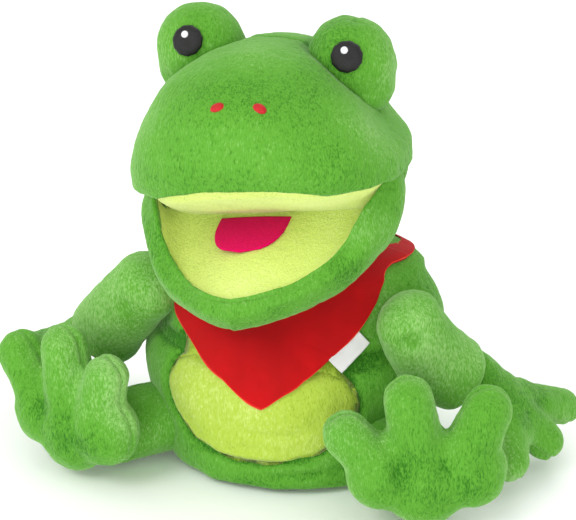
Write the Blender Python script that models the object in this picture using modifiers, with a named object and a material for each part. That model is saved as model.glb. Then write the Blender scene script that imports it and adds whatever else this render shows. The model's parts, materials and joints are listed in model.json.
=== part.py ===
"""Plush frog hand puppet: a hollow sleeve body, a clam-shaped head with a moving jaw, and stuffed limbs.

The frog faces -Y, its left side is +X, and it sits on the plane Z = 0.
Lengths are in metres and angles in degrees.
"""

import math

import bmesh
import bpy
from mathutils import Matrix, Vector

MM = 0.001
GAP = 0.3 * MM  # left between neighbouring pieces
FROG_CENTRE = Vector((11.1, 15.3, 0.0)) * MM  # the body's axis, which puts the whole outline round the origin

# Body: height, half width and half depth of its sections, bottom to top.
BODY_SECTIONS = (
    (4.5, 64, 60), (14, 70, 66), (32, 76, 70), (50, 78, 71), (66, 75, 65),
    (80, 72, 57), (94, 66, 46), (105, 56, 38.5), (112, 43, 34.5), (114, 33, 33),
)
BODY_TOP = 114 * MM
FABRIC = 2.4 * MM  # plush with its backing
LINER_RADIUS = 30 * MM
LINER_WALL = 1.2 * MM
BASE_HEIGHT = 4.2 * MM
BASE_SEAM_INSET = 1.5 * MM  # the base's edge turns in below the body's lowest section
FILLING_TOP = 108 * MM
FILLING_CLEARANCE = 3.2 * MM  # between the plush and the filling

# The belly panel's edge, height and half width: a round lower belly with a waist and a chest above it.
BELLY_HALF_WIDTHS = (
    (17, 4), (18.5, 22), (24, 36), (36, 48), (50, 52), (62, 48),
    (67, 43), (73, 45), (86, 44), (98, 36), (104, 28),
)

# Neckerchief: degrees away from the front, and the height of its lower and upper edge there.
BANDANA_LOW = ((0, 50), (15, 60), (45, 82), (62, 96), (78, 103), (110, 104), (180, 103))
BANDANA_HIGH = ((0, 94), (30, 97), (60, 105), (90, 110.5), (180, 110.5))
BANDANA_INNER = 0.8 * MM  # off the body
BANDANA_OUTER = 2.2 * MM
LABEL_SIZE = Vector((17, 1, 11)) * MM
LABEL_PLACE = Vector((53.5, -46.5, 79)) * MM
LABEL_TURN = 38.0
LABEL_TILT = -42.0
FASTENER_SIZE = Vector((26, 2, 5)) * MM
FASTENER_PLACE = Vector((0, 44, 103.5)) * MM
FASTENER_TILT = 34.0

# Neck
NECK_HEIGHTS = (BODY_TOP + 2 * GAP, 139 * MM)
NECK_RADIUS = 30 * MM
NECK_WALL = 2 * MM

# Head: a clam whose slices all pass through the mouth's fold line.
MOUTH_FOLD = Vector((0, -36, 137)) * MM
NOD_PIVOT = Vector((0, 0, 136)) * MM
HEAD_HALF_WIDTH = 70 * MM
JAW_HALF_WIDTH = 67 * MM
# Angle above straight ahead, and how far the surface lies from the fold line there.
HEAD_REACH = ((26, 71), (38, 78), (55, 88), (72, 92), (90, 91), (115, 91), (140, 86), (165, 77), (190, 72))
JAW_REACH = ((-18, 68), (-28, 70), (-40, 65), (-52, 48), (-66, 36), (-82, 28))
PALATE_ANGLE = 26.0
LOWER_LIP_ANGLE = -18.0
CROWN_SEAM_ANGLE = 92.0
NAPE_ANGLE = 188.0
THROAT_ANGLE = -66.0
SEAM_HALF_ANGLE = 0.3
LIP_HALF_ANGLE = 2.5  # the panels stop this far from the mouth's linings
HEAD_ROUNDNESS = 0.86
JAW_ROUNDNESS = 0.95
HEAD_FILLING = {"angles": (42, 160), "clearance": 1.4 * MM, "thickness": 15 * MM, "slant": 76}
JAW_FILLING = {"angles": (-26, -62), "clearance": 1.6 * MM, "thickness": 7 * MM, "slant": 70}

# Mouth plates: lift off the plane, first and last distance from the fold line, half width and thickness.
PALATE_LINING = (-0.5, 7, 69, 60, 1.8)
PALATE_BOARD = (1.6, 9, 64, 54, 1.2)
LOWER_LINING = (-1.3, 7, 67, 58, 1.8)
LOWER_BOARD = (-2.8, 9, 60, 52, 1.2)
TONGUE = (0.8, 16, 35, 19.5, 1.2)

EYE_BUMP_CENTRE = Vector((40, -27, 217)) * MM
EYE_BUMP_RADIUS = 22.5 * MM
EYE_FACING = Vector((0.12, -0.93, 0.34))
EYE_HALF_ANGLE = 20.0
EYE_THICKNESS = 1.1 * MM
GLINT_OFFSET = Vector((-0.04, 0, 0.13))
GLINT_THICKNESS = 0.5 * MM
GLINT_HALF_ANGLE = 4.4
NOSTRIL_ANGLE = 53
NOSTRIL_SLANT = 7.2
NOSTRIL_LEAN = 30.0
NOSTRIL_RADII = Vector((3.2, 2.3, 0.9)) * MM
NOSTRIL_PROUD = 1.5 * MM

LIMB_SEGMENTS = 14
ARM = {"shoulder": (72, -41, 99), "radius": (15.5, 18.0), "short_of_wrist": 14, "end_cut": 0.35}
ARM_REST = {
    "left": {"wrist": (106, -9, 48), "lateral": (0.028, 0.957, 0.287), "normal": (0.78, -0.2, 0.59)},
    "right": {"wrist": (-115, -16, 47), "lateral": (0.276, -0.925, -0.154), "normal": (-0.62, -0.3, 0.69)},
}
LEG = {"hip": (67, -47, 19), "ankle": (80, -60, 19), "radius": (10.0, 16.5), "end_cut": 0.1}
FOOT = {"heel": (92.5, -78.0, 1.8), "lateral": (0.94, 0.34, 0), "normal": (0.34, -0.94, 0)}
FOOT_THICKNESS = 15.5
HAND_THICKNESS = 10.0

# Each toe or finger: its tip, its root and its radius, across and along the paw.
FOOT_TOES = {
    "left": (((-37, 51), (-22, 31), 12.0), ((-1, 67), (-1, 40), 13.0), ((31, 62), (21, 36), 12.5)),
    "right": (((-39, 56), (-23, 35), 12.5), ((-7, 66), (-3, 40), 13.0), ((23, 59), (17, 36), 12.0)),
}
FOOT_PALM = (((0, 29), 27.0), ((-21, 30), 20.0), ((21, 31), 20.0), ((0, 22), 21.5))
HAND_FINGERS = {
    "left": (((-30, 31), (-13, 22), 10.0), ((3, 47), (1, 28), 10.5), ((34, 50), (15, 28), 10.0)),
    "right": (((-34, 50), (-15, 28), 10.0), ((-3, 47), (-1, 28), 10.5), ((30, 33), (13, 22), 10.0)),
}
HAND_PALM = (((0, 21), 17.5), ((-9, 24), 15.0), ((9, 24), 15.0), ((0, 10), 16.0))
PAW_VOXEL = 3.6 * MM
PAW_RELAXING = 2
PAW_THINNING = 0.2  # share of the fused skin's triangles kept
SIDES = (("left", 1), ("right", -1))


def clear_scene():
    for thing in list(bpy.data.objects):
        bpy.data.objects.remove(thing, do_unlink=True)


def new_collection(name):
    collection = bpy.data.collections.new(name)
    bpy.context.scene.collection.children.link(collection)
    return collection


clear_scene()
PARTS = new_collection("frog_hand_puppet")
CUTTERS = new_collection("cutters")


def new_material(name, colour, roughness):
    material = bpy.data.materials.new(name)
    material.use_nodes = True
    shader = material.node_tree.nodes["Principled BSDF"]
    shader.inputs["Base Color"].default_value = (*colour, 1.0)
    shader.inputs["Roughness"].default_value = roughness
    shader.inputs["Metallic"].default_value = 0.0
    return material


GREEN = ("green_plush", (0.12, 0.45, 0.04), 0.95)
LIME = ("lime_plush", (0.55, 0.68, 0.10), 0.95)
FELT = ("magenta_felt", (0.66, 0.0, 0.15), 0.9)
COTTON = ("red_cotton", (0.55, 0.0, 0.01), 0.85)
LINING = ("white_lining", (0.8, 0.8, 0.78), 0.9)
FILL = ("white_filling", (0.9, 0.9, 0.9), 1.0)
BOARD = ("grey_board", (0.35, 0.34, 0.32), 0.8)
BLACK = ("black_thread", (0.01, 0.01, 0.01), 0.45)
WHITE = ("white_thread", (0.85, 0.85, 0.85), 0.5)
RED = ("red_thread", (0.6, 0.02, 0.01), 0.5)


def add_piece(name, bm, look, parent):
    """Turns a bmesh into a named, smooth, outward-facing object with its own material."""
    bmesh.ops.recalc_face_normals(bm, faces=bm.faces)
    if bm.calc_volume(signed=True) < 0:
        bmesh.ops.reverse_faces(bm, faces=bm.faces)
    mesh = bpy.data.meshes.new(name)
    bm.to_mesh(mesh)
    bm.free()
    mesh.shade_smooth()
    mesh.set_sharp_from_angle(angle=math.radians(50))
    colour_name, colour, roughness = look
    mesh.materials.append(new_material(f"{name}_{colour_name}", colour, roughness))
    piece = bpy.data.objects.new(name, mesh)
    PARTS.objects.link(piece)
    piece.matrix_world = Matrix.Translation(FROG_CENTRE)
    piece.parent = parent
    piece.matrix_parent_inverse = parent.matrix_world.inverted()
    return piece


def add_pivot(name, place, parent=None):
    pivot = bpy.data.objects.new(f"{name}_pivot", None)
    PARTS.objects.link(pivot)
    pivot.empty_display_size = 0.01
    pivot.matrix_world = Matrix.Translation(FROG_CENTRE + place)
    if parent:
        pivot.parent = parent
        pivot.matrix_parent_inverse = parent.matrix_world.inverted()
    bpy.context.view_layer.update()
    return pivot


def grid_faces(bm, rows, wrap):
    """Quads between neighbouring rows of vertices."""
    for low, high in zip(rows, rows[1:]):
        count = len(low) if wrap else len(low) - 1
        for i in range(count):
            j = (i + 1) % len(low)
            bm.faces.new((low[i], low[j], high[j], high[i]))


def thick_patch(outer, inner, across, along, wrap=False):
    """A closed sheet between two surfaces, each a function of u and v from 0 to 1. wrap closes it round u."""
    bm = bmesh.new()
    steps = across if wrap else across + 1
    sides = []
    for surface in (outer, inner):
        sides.append([
            [bm.verts.new(surface(i / across, j / along)) for i in range(steps)] for j in range(along + 1)
        ])
    for rows in sides:
        grid_faces(bm, rows, wrap)
    for j in (0, along):
        grid_faces(bm, [sides[0][j], sides[1][j]], wrap)
    if not wrap:
        for i in (0, across):
            grid_faces(bm, [[row[i] for row in sides[0]], [row[i] for row in sides[1]]], False)
    return bm


def loft(rings):
    """A closed solid through rings of points, with a flat cap at each end."""
    bm = bmesh.new()
    rows = [[bm.verts.new(point) for point in ring] for ring in rings]
    grid_faces(bm, rows, True)
    bm.faces.new(rows[0])
    bm.faces.new(rows[-1])
    return bm


def smooth_between(table, at):
    """The table's other columns at this value of its first, eased by a Catmull-Rom curve."""
    rows = list(table)
    at = min(max(at, min(rows[0][0], rows[-1][0])), max(rows[0][0], rows[-1][0]))
    sign = 1 if rows[-1][0] > rows[0][0] else -1
    k = 0
    while k < len(rows) - 2 and sign * rows[k + 1][0] < sign * at:
        k += 1
    before, start, end, after = (rows[max(0, min(len(rows) - 1, k + d))] for d in (-1, 0, 1, 2))
    t = (at - start[0]) / (end[0] - start[0])
    found = []
    for p0, p1, p2, p3 in zip(before[1:], start[1:], end[1:], after[1:]):
        found.append(0.5 * (2 * p1 + (p2 - p0) * t + (2 * p0 - 5 * p1 + 4 * p2 - p3) * t**2
                            + (3 * p1 - p0 - 3 * p2 + p3) * t**3))
    return found


def boolean(piece, cutter, operation):
    modifier = piece.modifiers.new(operation.lower(), "BOOLEAN")
    modifier.operation = operation
    modifier.object = cutter
    modifier.solver = "EXACT"


def add_cutter(name, bm):
    bmesh.ops.recalc_face_normals(bm, faces=bm.faces)
    mesh = bpy.data.meshes.new(name)
    bm.to_mesh(mesh)
    bm.free()
    cutter = bpy.data.objects.new(name, mesh)
    cutter.location = FROG_CENTRE
    cutter.hide_render = True
    cutter.display_type = "WIRE"
    CUTTERS.objects.link(cutter)
    return cutter


# Body


def body_point(turn, height, inset):
    """A point on the body's surface. turn is 0 at the front and goes round by the frog's left."""
    half_width, half_depth = smooth_between(BODY_SECTIONS, height / MM)
    angle = 2 * math.pi * turn
    return Vector((
        (half_width * MM - inset) * math.sin(angle),
        -(half_depth * MM - inset) * math.cos(angle),
        height,
    ))


def circle_point(turn, radius, height):
    angle = 2 * math.pi * turn
    return Vector((radius * math.sin(angle), -radius * math.cos(angle), height))


def body_height(v, low, high):
    return low + (high - low) * v


def belly_outline(grow):
    """The belly panel's edge, seen from the front, moved out by grow."""
    right = [(width * MM + grow, height * MM) for height, width in BELLY_HALF_WIDTHS]
    right[0] = (right[0][0], right[0][1] - grow)
    right[-1] = (right[-1][0], right[-1][1] + grow)
    return right + [(-x, z) for x, z in reversed(right)]


def belly_prism(name, grow):
    """A cutter with the belly panel's outline, through the body's front only."""
    outline = belly_outline(grow)
    rings = [[Vector((x, y, z)) for x, z in outline] for y in (-0.12, -0.01)]
    return add_cutter(name, loft(rings))


def add_body(root):
    low = BASE_HEIGHT + GAP

    def shell(inset):
        return lambda u, v: body_point(u, body_height(v, low, BODY_TOP), inset)

    for name, look, operation, grow in (
        ("body_shell", GREEN, "DIFFERENCE", GAP / 2), ("belly_panel", LIME, "INTERSECT", -GAP / 2),
    ):
        bm = thick_patch(shell(0), shell(FABRIC), 32, 11, wrap=True)
        piece = add_piece(name, bm, look, root)
        boolean(piece, belly_prism(f"{name}_outline", grow), operation)

    def filling_outside(u, v):
        return body_point(u, body_height(v, low + MM, FILLING_TOP), FABRIC + FILLING_CLEARANCE)

    def filling_inside(u, v):
        return circle_point(u, LINER_RADIUS + GAP, body_height(v, low + MM, FILLING_TOP))

    add_piece("body_filling", thick_patch(filling_outside, filling_inside, 24, 7, wrap=True), FILL, root)

    def liner(radius):
        return lambda u, v: circle_point(u, radius, body_height(v, low + 0.5 * MM, BODY_TOP))

    bm = thick_patch(liner(LINER_RADIUS), liner(LINER_RADIUS - LINER_WALL), 24, 3, wrap=True)
    add_piece("hand_liner", bm, LINING, root)

    def base_outside(u, v):
        x, y, _ = body_point(u, 5 * MM, BASE_SEAM_INSET * (1 - v))
        return Vector((x, y, BASE_HEIGHT * v))

    def base_inside(u, v):
        return circle_point(u, LINER_RADIUS - LINER_WALL, BASE_HEIGHT * v)

    add_piece("base_panel", thick_patch(base_outside, base_inside, 32, 2, wrap=True), GREEN, root)


def bandana_edges(turn):
    """Lower and upper edge of the neckerchief: a point at the front, and a rolled band round the nape."""
    away = abs((turn + 0.5) % 1.0 - 0.5) * 360
    return smooth_between(BANDANA_LOW, away)[0] * MM, smooth_between(BANDANA_HIGH, away)[0] * MM


def add_bandana(root):
    def side(proud):
        def surface(u, v):
            low, high = bandana_edges(u)
            return body_point(u, low + (high - low) * v, -proud)
        return surface

    bm = thick_patch(side(BANDANA_OUTER), side(BANDANA_INNER), 48, 4, wrap=True)
    add_piece("bandana", bm, COTTON, root)
    add_label(root)
    turn = Matrix.Rotation(math.radians(FASTENER_TILT), 4, "X")
    add_block("bandana_fastener", FASTENER_PLACE, turn, FASTENER_SIZE, COTTON, root)


def add_label(root):
    """A blank folded label, sewn into the neckerchief's edge on the frog's left."""
    tilt = Matrix.Rotation(math.radians(LABEL_TILT), 4, "Y")
    turn = Matrix.Rotation(math.radians(LABEL_TURN), 4, "Z") @ tilt
    add_block("bandana_label", LABEL_PLACE, turn, LABEL_SIZE, LINING, root)


def add_block(name, place, turn, size, look, parent):
    bm = bmesh.new()
    bmesh.ops.create_cube(bm, size=1.0)
    bm.transform(Matrix.Translation(place) @ turn @ Matrix.Diagonal((*size, 1)))
    add_piece(name, bm, look, parent)


# Neck and head


def add_neck(neck):
    def tube(radius):
        return lambda u, v: circle_point(u, radius, body_height(v, *NECK_HEIGHTS))

    bm = thick_patch(tube(NECK_RADIUS), tube(NECK_RADIUS - NECK_WALL), 24, 2, wrap=True)
    add_piece("neck_sleeve", bm, GREEN, neck)


def clam_point(reach, half_width, angle, slant, inset, roundness):
    """A point on a half-round slice that pivots on the mouth's fold line, slant degrees from its middle."""
    far = smooth_between(reach, angle)[0] * MM - inset
    wide = half_width - inset
    side = math.sin(math.radians(slant))
    ahead = math.cos(math.radians(slant))
    x = wide * math.copysign(abs(side) ** roundness, side)
    out = far * ahead**roundness
    tilt = math.radians(angle)
    return MOUTH_FOLD + Vector((x, -out * math.cos(tilt), out * math.sin(tilt)))


def head_surface(first, last, inset, slant=84.0):
    def surface(u, v):
        angle = first + (last - first) * v
        return clam_point(HEAD_REACH, HEAD_HALF_WIDTH, angle, slant * (2 * u - 1), inset, HEAD_ROUNDNESS)
    return surface


def jaw_surface(first, last, inset, slant=84.0):
    def surface(u, v):
        angle = first + (last - first) * v
        return clam_point(JAW_REACH, JAW_HALF_WIDTH, angle, slant * (2 * u - 1), inset, JAW_ROUNDNESS)
    return surface


def fold_plate(angle, plate):
    """A half-round plate on a plane through the fold line."""
    lift, first, reach, half_width, thickness = (length * MM for length in plate)
    tilt = math.radians(angle)
    ahead = Vector((0, -math.cos(tilt), math.sin(tilt)))
    normal = Vector((0, math.sin(tilt), math.cos(tilt)))
    outline = []
    for k in range(13):
        turn = math.radians(-90 + 15 * k)
        sideways = Vector((half_width * math.sin(turn), 0, 0))
        outline.append(sideways + ahead * (first + (reach - first) * math.cos(turn)))
    rings = [[MOUTH_FOLD + point + normal * rise for point in outline] for rise in (lift, lift + thickness)]
    return loft(rings)


def add_head(head):
    for name, first, last, along in (
        ("head_front", PALATE_ANGLE + LIP_HALF_ANGLE, CROWN_SEAM_ANGLE - SEAM_HALF_ANGLE, 8),
        ("head_back", CROWN_SEAM_ANGLE + SEAM_HALF_ANGLE, NAPE_ANGLE, 9),
    ):
        bm = thick_patch(head_surface(first, last, 0), head_surface(first, last, FABRIC), 18, along)
        add_piece(name, bm, GREEN, head)
    add_filling("head_filling", HEAD_FILLING, head_surface, (14, 9), head)
    add_piece("mouth_lining_upper", fold_plate(PALATE_ANGLE, PALATE_LINING), LIME, head)
    add_piece("mouth_board_upper", fold_plate(PALATE_ANGLE, PALATE_BOARD), BOARD, head)


def add_filling(name, filling, surface, steps, parent):
    """A layer of stuffing under a panel, clear of it."""
    first, last = filling["angles"]
    inset = FABRIC + filling["clearance"]
    outer = surface(first, last, inset, filling["slant"])
    inner = surface(first, last, inset + filling["thickness"], filling["slant"])
    add_piece(name, thick_patch(outer, inner, *steps), FILL, parent)


def add_jaw(jaw):
    first, last = LOWER_LIP_ANGLE - LIP_HALF_ANGLE, THROAT_ANGLE
    bm = thick_patch(jaw_surface(first, last, 0), jaw_surface(first, last, FABRIC), 18, 7)
    add_piece("chin_panel", bm, GREEN, jaw)
    add_filling("chin_filling", JAW_FILLING, jaw_surface, (14, 5), jaw)
    add_piece("mouth_lining_lower", fold_plate(LOWER_LIP_ANGLE, LOWER_LINING), LIME, jaw)
    add_piece("mouth_board_lower", fold_plate(LOWER_LIP_ANGLE, LOWER_BOARD), BOARD, jaw)
    add_piece("tongue", fold_plate(LOWER_LIP_ANGLE, TONGUE), FELT, jaw)


def head_solid(name, grow):
    """The head's outside as one solid, for cutting the pieces that sit on it."""
    rings = []
    for k in range(17):
        angle = 30 + 9.5 * k
        rings.append([
            clam_point(HEAD_REACH, HEAD_HALF_WIDTH, angle, -84 + 8 * i, -grow, HEAD_ROUNDNESS)
            for i in range(22)
        ])
    return add_cutter(name, loft(rings))


def disc_on_ball(centre, facing, inner_radius, outer_radius, half_angle, rings, segments):
    """A round patch of a ball's surface, between two radii."""
    facing = facing.normalized()
    across = facing.cross(Vector((0, 0, 1))).normalized()
    up = across.cross(facing)
    bm = bmesh.new()
    sides = []
    for radius in (outer_radius, inner_radius):
        middle = bm.verts.new(centre + facing * radius)
        rows = []
        for k in range(1, rings + 1):
            tilt = math.radians(half_angle) * k / rings
            row = []
            for i in range(segments):
                turn = 2 * math.pi * i / segments
                sideways = across * math.cos(turn) + up * math.sin(turn)
                direction = facing * math.cos(tilt) + sideways * math.sin(tilt)
                row.append(bm.verts.new(centre + direction * radius))
            rows.append(row)
        for i in range(segments):
            bm.faces.new((middle, rows[0][i], rows[0][(i + 1) % segments]))
        grid_faces(bm, rows, True)
        sides.append(rows)
    grid_faces(bm, [sides[0][-1], sides[1][-1]], True)
    return bm


def add_eyes(head):
    solid = head_solid("eye_bump_seat", 3 * GAP)
    for side, sign in SIDES:
        flip = Vector((sign, 1, 1))
        centre = EYE_BUMP_CENTRE * flip
        facing = (EYE_FACING * flip).normalized()
        bm = bmesh.new()
        bmesh.ops.create_uvsphere(bm, u_segments=20, v_segments=12, radius=EYE_BUMP_RADIUS)
        bm.transform(Matrix.Translation(centre))
        bump = add_piece(f"eye_bump_{side}", bm, GREEN, head)
        boolean(bump, solid, "DIFFERENCE")
        radius = EYE_BUMP_RADIUS + GAP
        bm = disc_on_ball(centre, facing, radius, radius + EYE_THICKNESS, EYE_HALF_ANGLE, 2, 16)
        add_piece(f"eye_{side}", bm, BLACK, head)
        glint = (facing + GLINT_OFFSET).normalized()
        radius += EYE_THICKNESS + GAP
        bm = disc_on_ball(centre, glint, radius, radius + GLINT_THICKNESS, GLINT_HALF_ANGLE, 1, 10)
        add_piece(f"eye_highlight_{side}", bm, WHITE, head)


def add_nostrils(head):
    for side, sign in SIDES:
        slant = NOSTRIL_SLANT * sign
        on = clam_point(HEAD_REACH, HEAD_HALF_WIDTH, NOSTRIL_ANGLE, slant, 0, HEAD_ROUNDNESS)
        above = clam_point(HEAD_REACH, HEAD_HALF_WIDTH, NOSTRIL_ANGLE, slant, -MM, HEAD_ROUNDNESS)
        normal = (above - on).normalized()
        bm = bmesh.new()
        bmesh.ops.create_uvsphere(bm, u_segments=10, v_segments=6, radius=1.0)
        turn = Vector((0, 0, 1)).rotation_difference(normal).to_matrix().to_4x4()
        lean = Matrix.Rotation(math.radians(NOSTRIL_LEAN * sign), 4, "Z")
        size = Matrix.Diagonal((*NOSTRIL_RADII, 1))
        bm.transform(Matrix.Translation(on + normal * NOSTRIL_PROUD) @ turn @ lean @ size)
        add_piece(f"nostril_{side}", bm, RED, head)


# Limbs


def limb(start, end, start_radius, end_radius, cut_start=1.0, cut_end=1.0):
    """A stuffed tube with rounded ends. A cut below 1 flattens that end's cap."""
    axis = (end - start).normalized()
    across = axis.cross(Vector((0, 0, 1))).normalized()
    up = across.cross(axis)
    stations = []
    for degrees in (-66, -38, -12):
        tilt = math.radians(degrees)
        middle = start + axis * start_radius * math.sin(tilt) * cut_start
        stations.append((middle, start_radius * math.cos(tilt)))
    stations.append((start.lerp(end, 0.5), (start_radius + end_radius) / 2))
    for degrees in (12, 38, 66):
        tilt = math.radians(degrees)
        stations.append((end + axis * end_radius * math.sin(tilt) * cut_end, end_radius * math.cos(tilt)))
    rings = []
    for middle, radius in stations:
        turns = [2 * math.pi * i / LIMB_SEGMENTS for i in range(LIMB_SEGMENTS)]
        rings.append([middle + (across * math.cos(a) + up * math.sin(a)) * radius for a in turns])
    return loft(rings)


def paw(name, fingers, palm, thickness):
    """A soft paw as one closed skin in its own XZ plane: fingers and palm as balls along lines, fused."""
    bm = bmesh.new()
    balls = []
    for tip, root, radius in fingers:
        for k in range(4):
            balls.append((Vector(tip).lerp(Vector(root), k / 3), radius * (1 + 0.05 * k)))
    for place, radius in palm:
        balls.append((Vector(place), radius))
    for (x, z), radius in balls:
        flat = min(1.0, thickness / radius)
        size = Matrix.Diagonal((radius * MM, radius * flat * MM, radius * MM, 1))
        place = Matrix.Translation(Vector((x, 0, z)) * MM) @ size
        bmesh.ops.create_uvsphere(bm, u_segments=16, v_segments=10, radius=1.0, matrix=place)
    mesh = bpy.data.meshes.new(f"{name}_balls")
    bm.to_mesh(mesh)
    bm.free()
    maker = bpy.data.objects.new(f"{name}_maker", mesh)
    CUTTERS.objects.link(maker)
    remesh = maker.modifiers.new("fuse", "REMESH")
    remesh.mode = "VOXEL"
    remesh.voxel_size = PAW_VOXEL
    relax = maker.modifiers.new("relax", "SMOOTH")
    relax.factor = 0.5
    relax.iterations = PAW_RELAXING
    thin = maker.modifiers.new("thin", "DECIMATE")
    thin.ratio = PAW_THINNING
    bpy.context.view_layer.update()
    fused = bpy.data.meshes.new_from_object(maker.evaluated_get(bpy.context.evaluated_depsgraph_get()))
    bpy.data.objects.remove(maker)
    return fused


def paw_panel(fused, side, place):
    """One of the paw's two panels: the half of its skin on this side of the seam, closed by a flat face."""
    bm = bmesh.new()
    bm.from_mesh(fused)
    everything = bm.verts[:] + bm.edges[:] + bm.faces[:]
    plane = Vector((0, side * GAP / 2, 0))
    cut = bmesh.ops.bisect_plane(
        bm, geom=everything, plane_co=plane, plane_no=Vector((0, side, 0)), clear_inner=True,
    )
    edges = [item for item in cut["geom_cut"] if isinstance(item, bmesh.types.BMEdge)]
    bmesh.ops.holes_fill(bm, edges=edges)
    bmesh.ops.triangulate(bm, faces=bm.faces[:])
    bm.transform(place)
    return bm


def frame_of(origin, lateral, normal):
    """A matrix that puts a paw's X along lateral, its -Y along normal and its Z up between them."""
    lateral = Vector(lateral).normalized()
    back = -Vector(normal).normalized()
    up = lateral.cross(back).normalized()
    back = up.cross(lateral)
    matrix = Matrix((lateral, back, up)).transposed().to_4x4()
    return Matrix.Translation(Vector(origin) * MM) @ matrix


def add_leg(side, sign, root):
    flip = Vector((sign, 1, 1))
    hip = Vector(LEG["hip"]) * MM * flip
    ankle = Vector(LEG["ankle"]) * MM * flip
    leg_pivot = add_pivot(f"leg_{side}", hip, root)
    foot_pivot = add_pivot(f"foot_{side}", ankle, leg_pivot)
    thin, thick = (radius * MM for radius in LEG["radius"])
    add_piece(f"leg_{side}", limb(hip, ankle, thin, thick, 1.0, LEG["end_cut"]), GREEN, leg_pivot)
    lateral = Vector(FOOT["lateral"]) * Vector((1, sign, 1))
    place = frame_of(Vector(FOOT["heel"]) * flip, lateral, Vector(FOOT["normal"]) * flip)
    fused = paw(f"foot_{side}", FOOT_TOES[side], FOOT_PALM, FOOT_THICKNESS)
    add_piece(f"foot_sole_{side}", paw_panel(fused, -1, place), GREEN, foot_pivot)
    add_piece(f"foot_instep_{side}", paw_panel(fused, 1, place), GREEN, foot_pivot)


def add_arm(side, sign, root):
    rest = ARM_REST[side]
    shoulder = Vector(ARM["shoulder"]) * MM * Vector((sign, 1, 1))
    wrist = Vector(rest["wrist"]) * MM
    arm_pivot = add_pivot(f"arm_{side}", shoulder, root)
    hand_pivot = add_pivot(f"hand_{side}", wrist, arm_pivot)
    thin, thick = (radius * MM for radius in ARM["radius"])
    end = wrist - (wrist - shoulder).normalized() * ARM["short_of_wrist"] * MM
    add_piece(f"arm_{side}", limb(shoulder, end, thin, thick, 1.0, ARM["end_cut"]), GREEN, arm_pivot)
    fused = paw(f"hand_{side}", HAND_FINGERS[side], HAND_PALM, HAND_THICKNESS)
    place = frame_of(rest["wrist"], rest["lateral"], rest["normal"])
    place = place @ Matrix.Scale(-1, 4, Vector((0, 0, 1)))
    add_piece(f"hand_back_{side}", paw_panel(fused, -1, place), GREEN, hand_pivot)
    add_piece(f"hand_palm_{side}", paw_panel(fused, 1, place), GREEN, hand_pivot)


def build():
    root = add_pivot("body", Vector((0, 0, 0)))
    add_body(root)
    add_bandana(root)
    neck = add_pivot("neck", Vector((0, 0, BODY_TOP)), root)
    add_neck(neck)
    head = add_pivot("head", NOD_PIVOT, neck)
    add_head(head)
    add_eyes(head)
    add_nostrils(head)
    add_jaw(add_pivot("jaw", MOUTH_FOLD, head))
    for side, sign in SIDES:
        add_arm(side, sign, root)
        add_leg(side, sign, root)


build()
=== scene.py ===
"""Plush frog hand puppet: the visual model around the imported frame.

Shapes are worked out in millimetres from the body's axis on the floor, then moved into the frame's metres.
The frog faces -Y and its left side is +X. Angles in tables are in degrees. A turn round the body is a share
of a whole turn, from 0 in front, and goes round by the frog's left.
"""

import json
import math

import bmesh
import bpy
import numpy as np
from mathutils import Matrix, Vector


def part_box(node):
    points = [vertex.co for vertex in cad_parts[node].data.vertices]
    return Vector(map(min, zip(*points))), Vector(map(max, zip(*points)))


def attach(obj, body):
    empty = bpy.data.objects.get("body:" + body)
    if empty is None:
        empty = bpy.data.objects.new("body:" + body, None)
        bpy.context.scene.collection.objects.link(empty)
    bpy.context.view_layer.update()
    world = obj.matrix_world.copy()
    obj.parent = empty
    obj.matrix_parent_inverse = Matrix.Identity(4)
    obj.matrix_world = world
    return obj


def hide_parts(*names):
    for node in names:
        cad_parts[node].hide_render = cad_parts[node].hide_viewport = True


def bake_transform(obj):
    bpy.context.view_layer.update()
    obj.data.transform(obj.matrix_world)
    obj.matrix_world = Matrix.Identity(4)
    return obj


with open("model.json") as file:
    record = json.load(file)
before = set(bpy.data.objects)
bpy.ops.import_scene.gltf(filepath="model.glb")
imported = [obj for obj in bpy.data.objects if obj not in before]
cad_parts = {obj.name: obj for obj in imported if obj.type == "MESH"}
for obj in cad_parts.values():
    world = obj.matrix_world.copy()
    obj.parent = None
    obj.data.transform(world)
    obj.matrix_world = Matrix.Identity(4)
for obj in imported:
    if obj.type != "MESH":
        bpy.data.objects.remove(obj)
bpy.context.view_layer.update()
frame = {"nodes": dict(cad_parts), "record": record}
JOINTS = {joint["name"]: joint for joint in frame["record"]["behaviour"]["joints"]}
LINER_LOW, LINER_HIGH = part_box("hand_liner")
AXIS = np.array([(LINER_LOW[0] + LINER_HIGH[0]) / 2, (LINER_LOW[1] + LINER_HIGH[1]) / 2, 0.0])
MM = 0.001
SIDES = (("left", 1), ("right", -1))


def joint_place(name):
    """Where a joint is, in millimetres from the body's axis."""
    return (np.array(JOINTS[name]["pos_m"]) - AXIS) / MM


def in_frame(points):
    return np.array(points, float) * MM + AXIS


FOLD = joint_place("jaw_open")

# Small tools


def spline(p0, p1, p2, p3, t):
    """The Catmull-Rom curve from p1 to p2."""
    straight = 2 * p1 + (p2 - p0) * t
    return 0.5 * (straight + (2 * p0 - 5 * p1 + 4 * p2 - p3) * t**2 + (3 * p1 - p0 - 3 * p2 + p3) * t**3)


def curve(table, at):
    """The table's other columns at these values of its first, on a Catmull-Rom curve."""
    rows = np.array(table, float)
    first = rows[:, 0]
    at = np.clip(np.asarray(at, float), first[0], first[-1])
    k = np.clip(np.searchsorted(first, at, side="right") - 1, 0, len(first) - 2)
    t = ((at - first[k]) / (first[k + 1] - first[k]))[..., None]
    p0, p1 = rows[np.maximum(k - 1, 0), 1:], rows[k, 1:]
    p2, p3 = rows[k + 1, 1:], rows[np.minimum(k + 2, len(first) - 1), 1:]
    return spline(p0, p1, p2, p3, t)


def height_on(table, at):
    """The table's second column at these values of its first."""
    return curve(table, at)[..., 0]


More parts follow.
